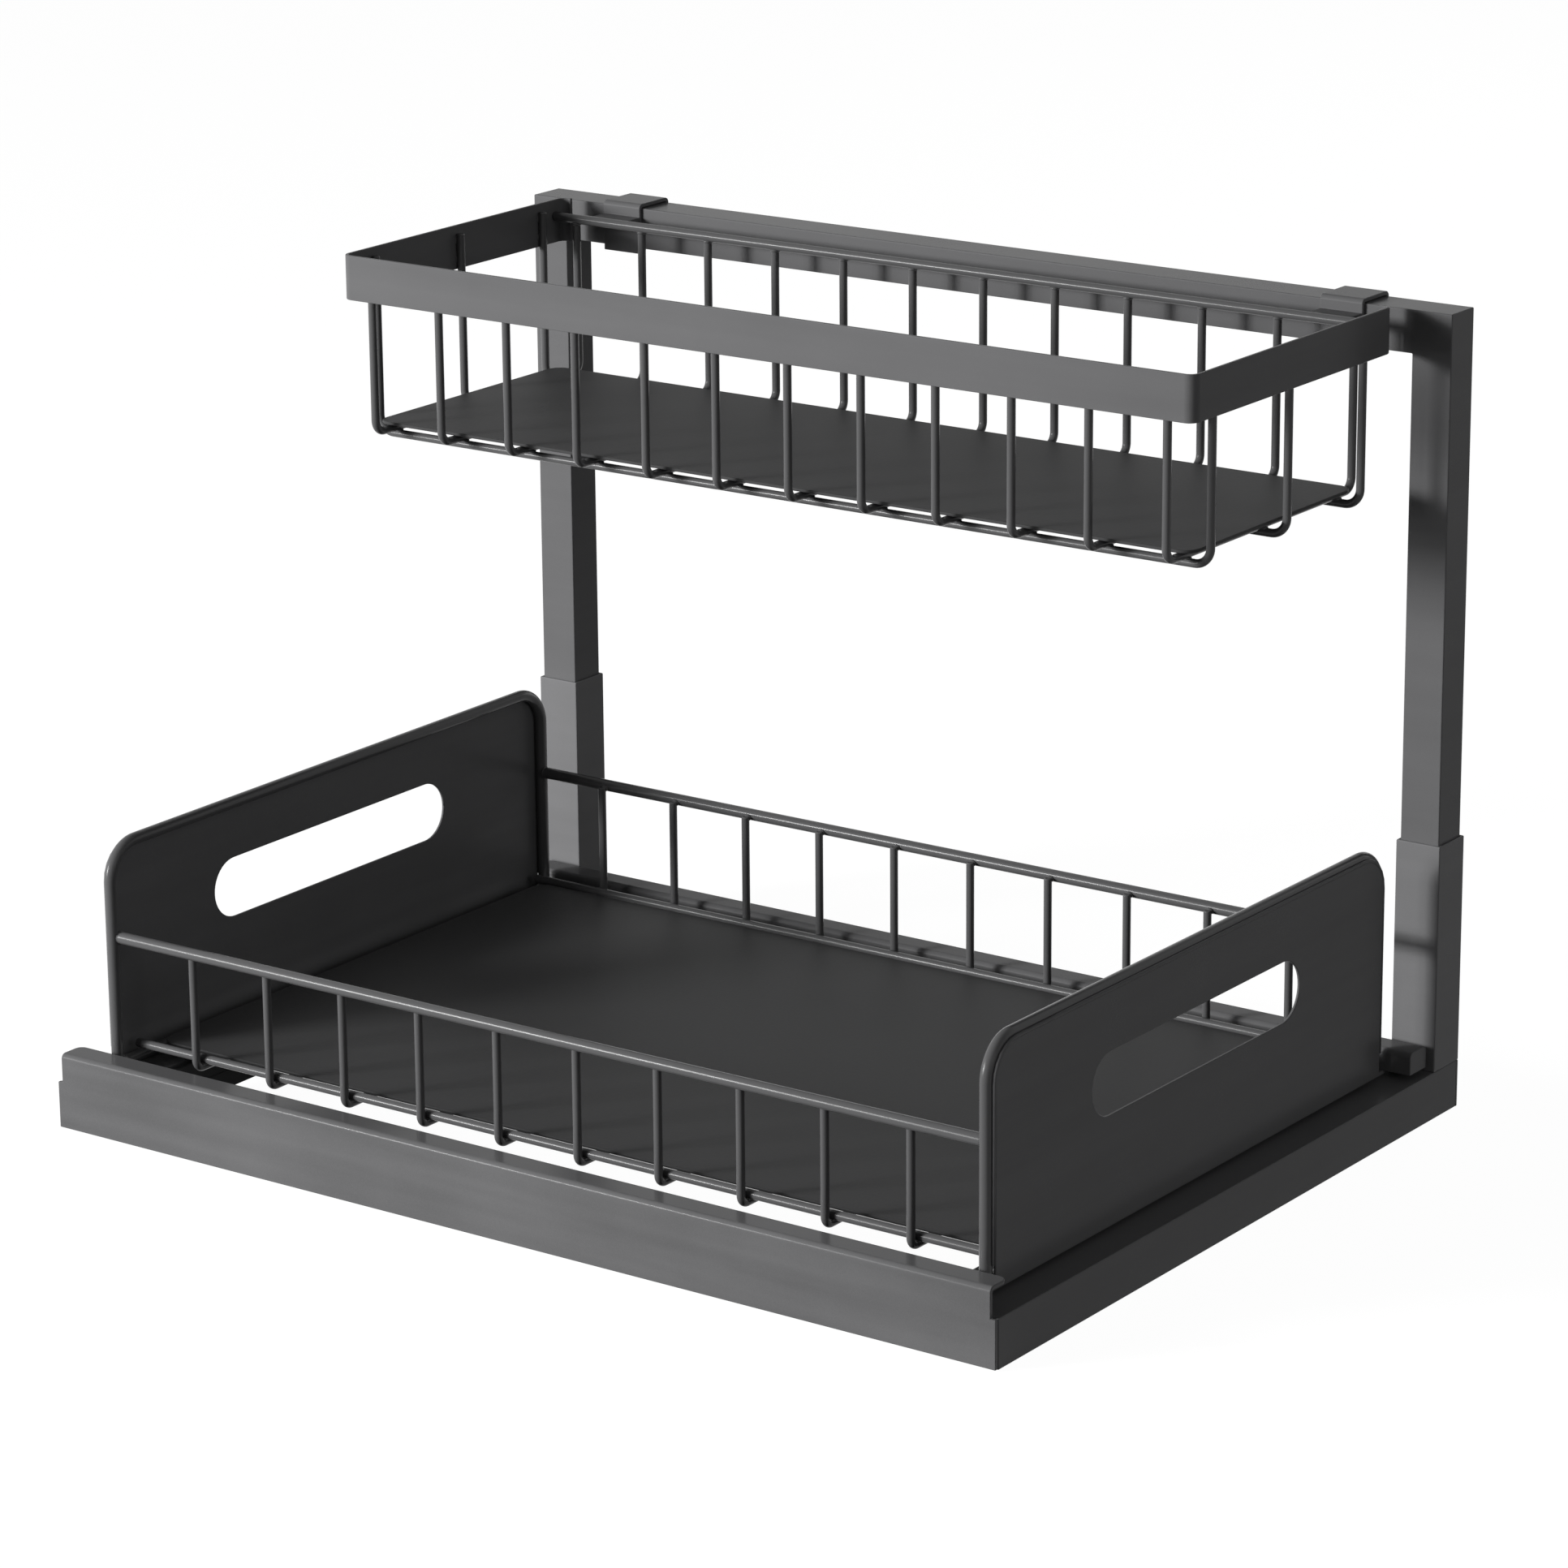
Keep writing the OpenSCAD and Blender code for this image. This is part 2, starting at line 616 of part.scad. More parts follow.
// Sheet on the outside of a hoop, with a handle slot through it
module side_panel() {
    edge = rod_r / 2;
    slot_y = (hoop_y0 + hoop_y1) / 2;
    color(metal) translate([-panel_x, 0, 0]) rotate([90, 0, 90]) linear_extrude(panel_t) difference() {
        union() {
            round_plate(hoop_y0 + edge, hoop_y1 - edge, hoop_z0, hoop_z1 - edge, hoop_top_r - edge);
            translate([hoop_y0 + edge, hoop_z0 - rod_r]) square([hoop_y1 - hoop_y0 - 2 * edge, basket_h / 2]);
        }
        round_plate(slot_y - slot_l / 2, slot_y + slot_l / 2,
                    basket_z0 + slot_z - slot_h / 2, basket_z0 + slot_z + slot_h / 2,
                    (slot_h - slot_flat) / 2);
    }
}

module rail_rod(y) {
    color(wire_metal) bar_x(2 * (hoop_x - rod_r), rod_r, y, rail_rod_z);
}

module floor_rod(y) {
    color(wire_metal) bar_x(2 * (hoop_x - rod_r), floor_rod_r, y, floor_rod_z);
}

// Wires bent down from the front rail rod, under the floor rods and up to the back rail rod
module lower_wires() {
    color(wire_metal) for (i = [0 : wire_count - 1])
        translate([(i - (wire_count - 1) / 2) * wire_pitch, 0, 0])
            u_wire(leg_y0, leg_y1, floor_z, rail_rod_z, rail_rod_z, floor_bend_r, wire_r);
}

module lower_mat() {
    x = hoop_x - rod_r - lower_mat_side + wire_r;
    color(rubber) translate([0, 0, floor_z + wire_r]) linear_extrude(mat_t)
        round_plate(-x, x, floor_rod_y0 + floor_rod_r + lower_mat_front,
                    floor_rod_y1 - floor_rod_r - lower_mat_back, mat_r);
}

// ---- Upper basket ----

// Flat band bent round the front and sides, its back ends turned in
module rim_band() {
    color(metal) translate([0, 0, rim_z0]) linear_extrude(rim_h) difference() {
        round_plate(-rim_x, rim_x, rim_y0, rim_y1, rim_r);
        round_plate(-rim_x + rim_t, rim_x - rim_t, rim_y0 + rim_t, rim_y1 - rim_t, rim_r - rim_t);
        translate([-rim_x + rim_return, rim_y1 - rim_r]) square([2 * (rim_x - rim_return), rim_r + cut]);
    }
}

module upper_back_rod() {
    color(wire_metal) bar_x(2 * (rim_x - rim_t), back_rod_r, back_rod_y, back_rod_z);
}

// Strap bent over the beam, with a bridge forward to the back rod
module hook() {
    leg_y = beam_y0 - hook_gap;
    lip_y = beam_y1 + hook_gap;
    top_z = frame_h + hook_rise;
    bend_z = top_z - hook_bend_r;
    leg_z0 = beam_z0 - hook_leg_drop;
    lip_z0 = top_z + hook_t - hook_lip_h;
    bridge_y0 = back_rod_y + back_rod_r;
    color(metal) run_across(-hook_x - hook_w / 2, -hook_x + hook_w / 2) {
        translate([leg_y - hook_t, leg_z0]) square([hook_t, bend_z - leg_z0]);
        translate([leg_y + hook_bend_r, bend_z]) sheet_bend(hook_bend_r, hook_t, 1);
        translate([leg_y + hook_bend_r, top_z]) square([lip_y - leg_y - 2 * hook_bend_r, hook_t]);
        translate([lip_y - hook_bend_r, bend_z]) sheet_bend(hook_bend_r, hook_t, 0);
        translate([lip_y, lip_z0]) square([hook_t, bend_z - lip_z0]);
        translate([bridge_y0, back_rod_z - hook_t / 2])
            square([leg_y - hook_t - bridge_y0 + sink, hook_t]);
    }
}

// Wires from the inside of the band, under the floor and up to the back rod
module upper_cross_wires() {
    color(wire_metal) for (i = [0 : cross_count - 1])
        translate([(i - (cross_count - 1) / 2) * cross_pitch, 0, 0])
            u_wire(cross_leg_y0, back_rod_y, cross_z, wire_top, back_rod_z - back_rod_r,
                   cross_bend_r, wire_r);
}

// Wires from side to side, below the others
module upper_long_wires() {
    color(wire_metal) for (i = [0 : long_count - 1])
        translate([0, rim_y0 + long_first + i * long_pitch, 0]) rotate([0, 0, 90])
            u_wire(-long_leg_x, long_leg_x, long_z, wire_top, wire_top, long_bend_r, wire_r);
}

module upper_mat() {
    x = long_leg_x - upper_mat_side;
    color(rubber) translate([0, 0, upper_mat_z]) linear_extrude(mat_t)
        round_plate(-x, x, cross_leg_y0 + upper_mat_end, back_rod_y - upper_mat_end, mat_r);
}

// ---- Nodes ----

base_rail();  // base_rail_left
mirror([1, 0, 0]) base_rail();  // base_rail_right
tie_bar(rail_y0 + tie_inset);  // front_tie_bar
tie_bar(sleeve_y - tie_inset - tie_w);  // back_tie_bar
post_sleeve();  // post_sleeve_left
mirror([1, 0, 0]) post_sleeve();  // post_sleeve_right
post();  // post_left
mirror([1, 0, 0]) post();  // post_right
top_beam();
rail_plugs();
slide_outer();  // slide_outer_left
mirror([1, 0, 0]) slide_outer();  // slide_outer_right
union() {  // rail_rivets
    rivet_rows(-rail_in_x) rail_rivet();
    mirror([1, 0, 0]) rivet_rows(-rail_in_x) rail_rivet();
}
slide_middle();  // slide_middle_left
mirror([1, 0, 0]) slide_middle();  // slide_middle_right
union() {  // outer_ball_cages
    outer_cage();
    mirror([1, 0, 0]) outer_cage();
}
union() {  // inner_ball_cages
    inner_cage();
    mirror([1, 0, 0]) inner_cage();
}
slide_inner();  // slide_inner_left
mirror([1, 0, 0]) slide_inner();  // slide_inner_right
union() {  // tray_rivets
    rivet_rows(-tray_web_x) tray_rivet();
    mirror([1, 0, 0]) rivet_rows(-tray_web_x) tray_rivet();
}
tray_front();
tray_side();  // tray_side_left
mirror([1, 0, 0]) tray_side();  // tray_side_right
tray_back();
side_hoop();  // side_hoop_left
mirror([1, 0, 0]) side_hoop();  // side_hoop_right
side_panel();  // side_panel_left
mirror([1, 0, 0]) side_panel();  // side_panel_right
rail_rod(rail_rod_y0);  // front_rail_rod
rail_rod(rail_rod_y1);  // back_rail_rod
floor_rod(floor_rod_y0);  // front_floor_rod
floor_rod(floor_rod_y1);  // back_floor_rod
lower_wires();
lower_mat();
rim_band();
upper_back_rod();
hook();  // hook_left
mirror([1, 0, 0]) hook();  // hook_right
upper_cross_wires();
upper_long_wires();
upper_mat();
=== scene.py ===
"""Two-tier pull-out basket for a kitchen cabinet: steel frame, tray, wire baskets and mats."""

import math

import bmesh
import bpy
from mathutils import Matrix, Vector


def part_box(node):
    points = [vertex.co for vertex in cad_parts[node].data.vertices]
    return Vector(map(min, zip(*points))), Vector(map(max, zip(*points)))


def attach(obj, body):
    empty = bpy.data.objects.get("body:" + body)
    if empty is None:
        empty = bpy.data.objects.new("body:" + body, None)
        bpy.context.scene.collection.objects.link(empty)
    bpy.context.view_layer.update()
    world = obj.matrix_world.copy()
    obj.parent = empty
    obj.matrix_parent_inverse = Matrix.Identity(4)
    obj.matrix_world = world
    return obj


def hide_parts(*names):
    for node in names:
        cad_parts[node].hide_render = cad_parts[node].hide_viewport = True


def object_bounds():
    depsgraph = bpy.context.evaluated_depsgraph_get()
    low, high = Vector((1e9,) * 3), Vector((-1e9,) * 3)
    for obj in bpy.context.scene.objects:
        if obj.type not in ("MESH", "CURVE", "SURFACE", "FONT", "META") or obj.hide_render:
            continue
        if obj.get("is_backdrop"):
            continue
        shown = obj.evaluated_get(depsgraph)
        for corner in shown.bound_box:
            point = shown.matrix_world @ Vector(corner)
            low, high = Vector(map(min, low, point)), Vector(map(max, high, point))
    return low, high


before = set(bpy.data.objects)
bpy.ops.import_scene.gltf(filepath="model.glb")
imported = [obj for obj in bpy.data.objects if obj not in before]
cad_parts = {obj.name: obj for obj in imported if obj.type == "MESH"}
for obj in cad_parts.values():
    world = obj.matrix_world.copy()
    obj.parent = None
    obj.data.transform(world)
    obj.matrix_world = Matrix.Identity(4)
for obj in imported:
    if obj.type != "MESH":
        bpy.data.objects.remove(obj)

MM = 0.001
cad_low, cad_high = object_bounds()


# ---- Base frame ----
# Square steel tubes: two rails on the cabinet floor, tied by two flat bars, with a welded sleeve at
# the back of each. An inverted U of smaller tube, mitred at its corners, plugs into the sleeves.
# The welds are ground flush, and everything is powder coated in a satin dark grey, with painted
# light on the sleeves.

class Signal:
    """A socket of a finish, with the arithmetic that the finishes need."""

    def __init__(self, finish, socket):
        self.finish = finish
        self.socket = socket

    def math(self, operation, first, second):
        return self.finish.node("ShaderNodeMath", {"operation": operation}, {0: first, 1: second})

    def __add__(self, other):
        return self.math("ADD", self, other)

    def __mul__(self, other):
        return self.math("MULTIPLY", self, other)


class Finish:
    """A material under construction, with patterns placed in the object's own frame."""

    def __init__(self, name):
        self.material = bpy.data.materials.new(name)
        self.material.use_nodes = True
        self.tree = self.material.node_tree
        self.shader = self.tree.nodes["Principled BSDF"]
        self.place = self.node("ShaderNodeTexCoord", {}, {}, "Object")

    def node(self, kind, settings, sockets, output=0):
        made = self.tree.nodes.new(kind)
        for name, value in settings.items():
            setattr(made, name, value)
        for name, value in sockets.items():
            self.feed(made.inputs[name], value)
        return Signal(self, made.outputs[output])

    def feed(self, socket, value):
        if isinstance(value, Signal):
            self.tree.links.new(value.socket, socket)
        else:
            socket.default_value = value

    def noise(self, size, detail=2.0, stretch=(1, 1, 1)):
        """Noise from 0 to 1 with features of that size in metres, longer where stretch is."""
        place = self.node("ShaderNodeVectorMath", {"operation": "DIVIDE"},
                          {0: self.place, 1: stretch})
        return self.node("ShaderNodeTexNoise", {},
                         {"Vector": place, "Scale": 1 / size, "Detail": detail})

    def blend(self, amount, first, second):
        """Colour between two colours, by a signal from 0 to 1."""
        return self.node("ShaderNodeMix", {"data_type": "RGBA"},
                         {"Factor": amount, "A": (*first, 1), "B": (*second, 1)}, "Result")

    def bump(self, height, depth):
        return self.node("ShaderNodeBump", {}, {"Height": height, "Distance": depth})

    def surface(self, specular, **values):
        """The finished material: specular is the same all over, the values may vary."""
        self.shader.inputs["Specular IOR Level"].default_value = specular
        for name, value in values.items():
            self.feed(self.shader.inputs[name.replace("_", " ")], value)
        return self.material


def shade(colour, factor):
    return tuple(channel * factor for channel in colour)


CLOUD_GLOSS = 0.08
GRAIN_GLOSS = 0.05


def powder_coat(name, colour, roughness, specular, peel_depth, tone_spread):
    """Baked powder film: streaks and clouds in its tone, orange peel, and a fine grain; where the
    tone spread is large, the streaks are partly painted reflection and shade.
    """
    finish = Finish(name)
    streaks = finish.noise(9 * MM, detail=2, stretch=(16, 16, 1))
    clouds = finish.noise(45 * MM, detail=3)
    peel = finish.noise(1.6 * MM, detail=2)
    grain = finish.noise(0.35 * MM, detail=1)
    tone = streaks * 0.45 + clouds * 0.35 + grain * 0.2
    colours = finish.blend(tone, shade(colour, 1 - tone_spread), shade(colour, 1 + tone_spread))
    smoothest = roughness - (CLOUD_GLOSS + GRAIN_GLOSS) / 2
    gloss = clouds * CLOUD_GLOSS + grain * GRAIN_GLOSS + smoothest
    relief = finish.bump(peel * 0.8 + grain * 0.2, peel_depth)
    return finish.surface(specular, Base_Color=colours, Roughness=gloss, Normal=relief)


GUNMETAL = (0.150, 0.150, 0.153)
frame_coat = powder_coat("frame_coat", GUNMETAL, roughness=0.26, specular=0.033,
                         peel_depth=0.005 * MM, tone_spread=0.20)
# A lighter copy of the frame coat for the sleeves: painted light, standing in for the brighter
# shading on the sleeves beside the posts.
sleeve_coat_painted_lighter = powder_coat("sleeve_coat_painted_lighter", shade(GUNMETAL, 1.34), roughness=0.26, specular=0.033,
                          peel_depth=0.005 * MM, tone_spread=0.20)


JOIN_DISTANCE = 0.0005 * MM
FLAT_ANGLE = math.radians(0.5)


def make_whole(shape):
    """Joins a shape's loose triangles and makes its flat faces whole."""
    bmesh.ops.remove_doubles(shape, verts=shape.verts, dist=JOIN_DISTANCE)
    bmesh.ops.dissolve_limit(shape, angle_limit=FLAT_ANGLE, verts=shape.verts, edges=shape.edges)


def new_piece(name, shape):
    mesh = bpy.data.meshes.new(name)
    shape.to_mesh(mesh)
    shape.free()
    mesh.shade_smooth()
    piece = bpy.data.objects.new(name, mesh)
    bpy.context.scene.collection.objects.link(piece)
    return piece


def merged_copy(node, name):
    """A copy of a part's mesh, made whole."""
    shape = bmesh.new()
    shape.from_mesh(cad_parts[node].data)
    make_whole(shape)
    return new_piece(name, shape)


def welded(name, *nodes):
    """Several parts united into one mesh, with flush seams that don't show."""
    whole = merged_copy(nodes[0], name)
    for node in nodes[1:]:
        part = merged_copy(node, node + "_to_weld")
        union = whole.modifiers.new("union", "BOOLEAN")
        union.operation = "UNION"
        union.solver = "EXACT"
        union.object = part
        graph = bpy.context.evaluated_depsgraph_get()
        shape = bmesh.new()
        shape.from_object(whole, graph)
        make_whole(shape)
        whole.modifiers.remove(union)
        shape.to_mesh(whole.data)
        shape.free()
        bpy.data.objects.remove(part)
    whole.data.shade_smooth()
    return whole


def ease_edges(piece, radius, segments=3, sharp=30):
    """Rounds a piece's sharp edges, as grinding and coating leave them; flat faces stay flat."""
    bevel = piece.modifiers.new("eased edges", "BEVEL")
    bevel.width = radius
    bevel.segments = segments
    bevel.limit_method = "ANGLE"
    bevel.angle_limit = math.radians(sharp)
    bevel.use_clamp_overlap = False
    bevel.face_strength_mode = "FSTR_ALL"
    flatness = piece.modifiers.new("flat faces", "WEIGHTED_NORMAL")
    flatness.use_face_influence = True


def place_piece(piece, material, body, slot, *nodes):
    """Gives a finished piece its material and its body, and lets it stand for its CAD nodes."""
    piece.data.materials.clear()
    piece.data.materials.append(material)
    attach(piece, body)
    if nodes:
        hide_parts(*nodes)


def eased(node, radius, material, body, slot, segments=3, sharp=30):
    """A part with eased edges and its material, in place of its CAD node."""
    piece = merged_copy(node, node + "_coated")
    ease_edges(piece, radius, segments, sharp)
    place_piece(piece, material, body, slot, node)


TUBE_EDGE = 0.45 * MM
arch_nodes = ("post_left", "top_beam", "post_right")
arch = welded("arch_welded", *arch_nodes)
ease_edges(arch, TUBE_EDGE)
place_piece(arch, frame_coat, "base", "frame_coat", *arch_nodes)
for side in ("left", "right"):
    eased("base_rail_" + side, TUBE_EDGE, frame_coat, "base", "frame_coat")
    eased("post_sleeve_" + side, TUBE_EDGE, sleeve_coat_painted_lighter, "base", "frame_coat")

BAR_EDGE = 0.3 * MM
for bar in ("front_tie_bar", "back_tie_bar"):
    eased(bar, BAR_EDGE, frame_coat, "base", "frame_coat")


# ---- Rail plugs ----
# Black polypropylene plugs pressed into the open back ends of the rails. Their moulded heads are
# lightly textured and their edges are round.

def moulded_plastic(name, colour):
    finish = Finish(name)
    texture = finish.noise(0.4 * MM, detail=2)
    colours = finish.blend(texture, shade(colour, 0.85), shade(colour, 1.15))
    return finish.surface(specular=0.3, Base_Color=colours, Roughness=texture * 0.15 + 0.45,
                          Normal=finish.bump(texture, 0.01 * MM))


PLUG_BLACK = (0.02, 0.02, 0.02)
plug_plastic = moulded_plastic("plug_plastic", PLUG_BLACK)
PLUG_EDGE = 0.35 * MM
eased("rail_plugs", PLUG_EDGE, plug_plastic, "base", "plug_plastic")


# ---- Ball slides ----
# Roll-formed zinc-plated steel: an outer member riveted to the rail, a middle member, and an inner
# member riveted to the tray. Steel balls run between them in two pressed cages on each side.

def zinc_plate(name, colour, roughness):
    """Zinc plate with the fine lengthwise lines of the rolling."""
    finish = Finish(name)
    lines = finish.noise(0.5 * MM, detail=3, stretch=(1, 60, 1))
    spangle = finish.noise(7 * MM, detail=2)
    colours = finish.blend(lines * 0.6 + spangle * 0.4, shade(colour, 0.85), shade(colour, 1.1))
    return finish.surface(specular=0.5, Base_Color=colours, Metallic=1.0,
                          Roughness=lines * 0.12 + spangle * 0.08 + roughness,
                          Normal=finish.bump(lines, 0.004 * MM))


ZINC = (0.55, 0.56, 0.57)
slide_zinc = zinc_plate("slide_zinc", ZINC, roughness=0.22)
SLIDE_EDGE = 0.12 * MM
for side in ("left", "right"):
    for member, body in (("outer", "base"), ("middle", "slide_middles"), ("inner", "tray")):
        node = "slide_" + member + "_" + side
        eased(node, SLIDE_EDGE, slide_zinc, body, "slide_zinc", segments=2)
for node in ("outer_ball_cages", "inner_ball_cages", "rail_rivets", "tray_rivets"):
    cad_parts[node].data.materials[0] = slide_zinc


# ---- Tray ----
# Folded sheet: a front plate that covers the rails and bends back into a flange, two side angles
# that seat the basket, and a channel along the back. The front is coated a little glossier, with
# strong tone bands that are partly random tone and partly painted reflection and shade.

sheet_coat = powder_coat("sheet_coat", GUNMETAL, roughness=0.26, specular=0.025,
                         peel_depth=0.004 * MM, tone_spread=0.20)
# The front coat's strong bands of tone are partly random tone and partly painted reflection and
# shade on the front plate.
front_coat = powder_coat("front_coat", shade(GUNMETAL, 0.93), roughness=0.15, specular=0.045,
                         peel_depth=0.003 * MM, tone_spread=0.50)
SHEET_EDGE = 0.35 * MM
eased("tray_front", SHEET_EDGE, front_coat, "tray", "sheet_coat")
for part in ("tray_side_left", "tray_side_right", "tray_back"):
    eased(part, SHEET_EDGE, sheet_coat, "tray", "sheet_coat")


# ---- Lower basket ----
# A bent rod hoop and a sheet panel on each side, joined by two rods at half height and two along
# the floor. Ten wires run down from the front rod, under the floor rods and up at the back, and a
# small nugget of weld joins them wherever they touch. A brazed seam holds each panel to its hoop.

wire_coat = powder_coat("wire_coat", shade(GUNMETAL, 0.72), roughness=0.20, specular=0.12,
                        peel_depth=0.002 * MM, tone_spread=0.08)
WIRE_END = 0.5 * MM
WIRE_END_ANGLE = 50
WIRE_RADIUS = 1.5 * MM
LOWER_WIRES = 10
for side in ("left", "right"):
    eased("side_panel_" + side, SHEET_EDGE, sheet_coat, "lower_basket", "sheet_coat")
for part in ("side_hoop_left", "side_hoop_right", "front_rail_rod", "back_rail_rod",
             "front_floor_rod", "back_floor_rod", "lower_wires"):
    eased(part, WIRE_END, wire_coat, "lower_basket", "wire_coat", segments=2, sharp=WIRE_END_ANGLE)


def spread(first, last, count):
    """Evenly spaced places from the first to the last."""
    return [first + (last - first) * i / (count - 1) for i in range(count)]


def weld_nuggets(name, places, body):
    """Squashed domes of weld metal; each place is a centre and the three radii of its dome."""
    shape = bmesh.new()
    for centre, radii in places:
        squash = Matrix.Diagonal((*radii, 1))
        bmesh.ops.create_uvsphere(shape, u_segments=10, v_segments=6, radius=1,
                                  matrix=Matrix.Translation(centre) @ squash)
    place_piece(new_piece(name, shape), wire_coat, body, "wire_coat")


wires_low, wires_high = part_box("lower_wires")
wire_xs = spread(wires_low.x + WIRE_RADIUS, wires_high.x - WIRE_RADIUS, LOWER_WIRES)
ROD_NUGGET = (1.7 * MM, 1.1 * MM, 1.3 * MM)
CROSS_NUGGET = (1.5 * MM, 1.5 * MM, 0.8 * MM)
HOOP_NUGGET = (0.9 * MM, 2.4 * MM, 2.5 * MM)
nuggets = []
for place, towards in (("front", 1), ("back", -1)):
    low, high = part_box(place + "_rail_rod")
    middle = (low + high) / 2
    reach = (high.y - low.y) / 2 * towards
    for x in wire_xs:
        nuggets.append(((x, middle.y + reach, middle.z - ROD_NUGGET[2] / 2), ROD_NUGGET))
    for x in (low.x, high.x):
        nuggets.append(((x, middle.y, middle.z), HOOP_NUGGET))
    low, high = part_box(place + "_floor_rod")
    for x in wire_xs:
        nuggets.append(((x, (low.y + high.y) / 2, low.z), CROSS_NUGGET))
weld_nuggets("lower_basket_welds", nuggets, "lower_basket")


def bead(name, path, radius, material, body, slot):
    """Round bead along a path that lies in a plane across x."""
    shape = bmesh.new()
    for i, place in enumerate(path):
        along = path[min(i + 1, len(path) - 1)] - path[max(i - 1, 0)]
        turn = along.to_track_quat("Z", "X").to_matrix().to_4x4()
        bmesh.ops.create_circle(shape, segments=8, radius=radius,
                                matrix=Matrix.Translation(place) @ turn)
    bmesh.ops.bridge_loops(shape, edges=shape.edges[:])
    bmesh.ops.holes_fill(shape, edges=shape.edges[:])
    bmesh.ops.recalc_face_normals(shape, faces=shape.faces[:])
    place_piece(new_piece(name, shape), material, body, slot)


def arc(x, centre_y, centre_z, radius, start, end, steps):
    """Points on an arc in a plane across x; the angles are in degrees."""
    turns = [math.radians(angle) for angle in spread(start, end, steps)]
    return [Vector((x, centre_y + radius * math.cos(turn), centre_z + radius * math.sin(turn)))
            for turn in turns]


SEAM_RADIUS = 0.7 * MM
SEAM_OFFSET = 0.5 * MM
PANEL_CORNER = 12.4 * MM
SEAM_FOOT = 8 * MM
CORNER_STEPS = 7
bend = PANEL_CORNER + SEAM_OFFSET
for side in ("left", "right"):
    low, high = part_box("side_panel_" + side)
    x = (low.x + high.x) / 2
    top = high.z - PANEL_CORNER
    path = [Vector((x, high.y + SEAM_OFFSET, low.z + SEAM_FOOT))]
    path += arc(x, high.y - PANEL_CORNER, top, bend, 0, 90, CORNER_STEPS)
    path += arc(x, low.y + PANEL_CORNER, top, bend, 90, 180, CORNER_STEPS)
    path.append(Vector((x, low.y - SEAM_OFFSET, low.z + SEAM_FOOT)))
    bead("panel_seam_" + side, path, SEAM_RADIUS, sheet_coat, "lower_basket", "sheet_coat")


# ---- Upper basket ----
# A flat band round the front and sides with its back ends turned in, a rod along the back, twelve
# wires from front to back and three from side to side below them, and two hooks over the beam.

UPPER_CROSS_WIRES = 12
UPPER_LONG_WIRES = 3
BAND_WELD_LOW = 3.5 * MM
BAND_WELD_HIGH = 6 * MM
for part in ("rim_band", "hook_left", "hook_right"):
    eased(part, SHEET_EDGE, sheet_coat, "upper_basket", "sheet_coat")
for part in ("upper_back_rod", "upper_cross_wires", "upper_long_wires"):
    eased(part, WIRE_END, wire_coat, "upper_basket", "wire_coat", segments=2, sharp=WIRE_END_ANGLE)

BAND_NUGGET = (1.6 * MM, 0.5 * MM, 2.0 * MM)
SIDE_BAND_NUGGET = (0.5 * MM, 1.6 * MM, 2.0 * MM)
BACK_NUGGET = (1.9 * MM, 1.9 * MM, 0.9 * MM)
cross_low, cross_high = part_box("upper_cross_wires")
long_low, long_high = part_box("upper_long_wires")
rim_low, rim_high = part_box("rim_band")
rod_low, rod_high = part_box("upper_back_rod")
cross_xs = spread(cross_low.x + WIRE_RADIUS, cross_high.x - WIRE_RADIUS, UPPER_CROSS_WIRES)
long_ys = spread(long_low.y + WIRE_RADIUS, long_high.y - WIRE_RADIUS, UPPER_LONG_WIRES)
band_zs = (rim_low.z + BAND_WELD_LOW, rim_high.z - BAND_WELD_HIGH)
nuggets = []
for x in cross_xs:
    nuggets.append(((x, (rod_low.y + rod_high.y) / 2, rod_low.z), BACK_NUGGET))
    nuggets += [((x, cross_low.y, z), BAND_NUGGET) for z in band_zs]
    nuggets += [((x, y, cross_low.z), CROSS_NUGGET) for y in long_ys]
for x in (long_low.x, long_high.x):
    nuggets += [((x, y, z), SIDE_BAND_NUGGET) for y in long_ys for z in band_zs]
weld_nuggets("upper_basket_welds", nuggets, "upper_basket")


# ---- Mats ----
# Thin sheets of dark foamed rubber, cut with round corners and laid loose on the wires. Their face
# is matt with a fine pebble from the mould.

PEBBLE_SIZE = 1.1 * MM


def foam_rubber(name, colour):
    finish = Finish(name)
    cells = {"Vector": finish.place, "Scale": 1 / PEBBLE_SIZE, "Smoothness": 0.6}
    pebble = finish.node("ShaderNodeTexVoronoi", {"feature": "SMOOTH_F1"}, cells, "Distance")
    patches = finish.noise(60 * MM, detail=3)
    colours = finish.blend(patches * 0.6 + pebble * 0.4, shade(colour, 0.92), shade(colour, 1.08))
    return finish.surface(specular=0.05, Base_Color=colours, Roughness=patches * 0.08 + 0.5,
                          Normal=finish.bump(pebble, 0.02 * MM))


RUBBER_GREY = (0.062, 0.062, 0.063)
mat_rubber = foam_rubber("mat_rubber", RUBBER_GREY)
MAT_EDGE = 0.4 * MM
eased("lower_mat", MAT_EDGE, mat_rubber, "lower_basket", "mat_rubber")
eased("upper_mat", MAT_EDGE, mat_rubber, "upper_basket", "mat_rubber")


# ---- Studio ----
# A white floor that is clear from below, four soft boxes, and a long lens that looks down a little.

centre = (cad_low + cad_high) / 2
LAMP_DISTANCE = 2.4


def soft_box(name, azimuth, elevation, width, height, watts):
    """Area lamp that faces the middle of the basket; azimuth 0 is in front, negative is left."""
    lamp = bpy.data.lights.new(name, "AREA")
    lamp.shape = "RECTANGLE"
    lamp.size = width
    lamp.size_y = height
    lamp.energy = watts
    holder = bpy.data.objects.new(name, lamp)
    bpy.context.scene.collection.objects.link(holder)
    turn, tilt = math.radians(azimuth), math.radians(elevation)
    away = Vector((math.sin(turn) * math.cos(tilt), -math.cos(turn) * math.cos(tilt),
                   math.sin(tilt)))
    holder.location = centre + away * LAMP_DISTANCE
    holder.rotation_euler = away.to_track_quat("Z", "Y").to_euler()


